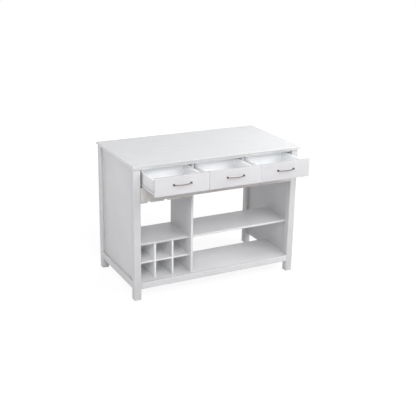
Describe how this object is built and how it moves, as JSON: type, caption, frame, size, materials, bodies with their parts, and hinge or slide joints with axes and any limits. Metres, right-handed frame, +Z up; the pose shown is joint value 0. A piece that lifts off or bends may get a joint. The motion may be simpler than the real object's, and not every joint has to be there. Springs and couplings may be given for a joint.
{
  "type": "kitchen island unit",
  "caption": "Free-standing island with a moulded worktop on square posts, drawers on roller slides, bottle cubbies, a stemware rack, open shelves and knee room behind.",
  "frame": {"origin": "on the floor, midway across the unit and midway from the pulled-out handles to the worktop's rear edge", "axes": "+X to the right along the front, +Y to the back where people sit, +Z up; the drawers open towards -Y"},
  "size_m": [1.22, 0.8884, 0.914],
  "materials": {
    "white_paint": "satin white paint on board",
    "worktop": "smooth white top with very faint grey veining",
    "slide_steel": "white epoxy on folded steel, with white nylon wheels",
    "handle_nickel": "warm brushed nickel"
  },
  "bodies": {
    "carcass": {"worktop": "worktop", "post_front_left": "white_paint", "post_front_right": "white_paint", "post_back_left": "white_paint", "post_back_right": "white_paint", "end_panel_left": "white_paint", "end_panel_right": "white_paint", "end_rail_left": "white_paint", "end_rail_right": "white_paint", "drawer_bay_side_left": "white_paint", "drawer_bay_side_right": "white_paint", "front_apron": "white_paint", "front_bottom_rail": "white_paint", "front_top_rail": "white_paint", "back_top_rail": "white_paint", "bottom_shelf": "white_paint", "bay_divider": "white_paint", "left_shelf": "white_paint", "right_shelf": "white_paint", "drawer_bay_floor": "white_paint", "drawer_bay_back": "white_paint", "drawer_partition_left": "white_paint", "drawer_partition_right": "white_paint", "cubby_upright_1": "white_paint", "cubby_upright_2": "white_paint", "cubby_middle_board": "white_paint", "stemware_slat_1": "white_paint", "stemware_slat_2": "white_paint", "stemware_slat_3": "white_paint", "stemware_slat_4": "white_paint", "left_bay_channel_left": "slide_steel", "left_bay_channel_right": "slide_steel", "centre_bay_channel_left": "slide_steel", "centre_bay_channel_right": "slide_steel", "right_bay_channel_left": "slide_steel", "right_bay_channel_right": "slide_steel"},
    "left_drawer": {"left_drawer_front": "white_paint", "left_drawer_handle": "handle_nickel", "left_drawer_side_left": "white_paint", "left_drawer_side_right": "white_paint", "left_drawer_back": "white_paint", "left_drawer_bottom": "white_paint", "left_drawer_runner_left": "slide_steel", "left_drawer_runner_right": "slide_steel"},
    "centre_drawer": {"centre_drawer_front": "white_paint", "centre_drawer_handle": "handle_nickel", "centre_drawer_side_left": "white_paint", "centre_drawer_side_right": "white_paint", "centre_drawer_back": "white_paint", "centre_drawer_bottom": "white_paint", "centre_drawer_runner_left": "slide_steel", "centre_drawer_runner_right": "slide_steel"},
    "right_drawer": {"right_drawer_front": "white_paint", "right_drawer_handle": "handle_nickel", "right_drawer_side_left": "white_paint", "right_drawer_side_right": "white_paint", "right_drawer_back": "white_paint", "right_drawer_bottom": "white_paint", "right_drawer_runner_left": "slide_steel", "right_drawer_runner_right": "slide_steel"}
  },
  "joints": [
    {"name": "left_drawer_slide", "type": "slide", "parent": "carcass", "child": "left_drawer", "axis": [0, -1, 0], "range_m": [-0.215, 0.01]},
    {"name": "centre_drawer_slide", "type": "slide", "parent": "carcass", "child": "centre_drawer", "axis": [0, -1, 0], "range_m": [-0.215, 0.01]},
    {"name": "right_drawer_slide", "type": "slide", "parent": "carcass", "child": "right_drawer", "axis": [0, -1, 0], "range_m": [-0.215, 0.01]}
  ]
}
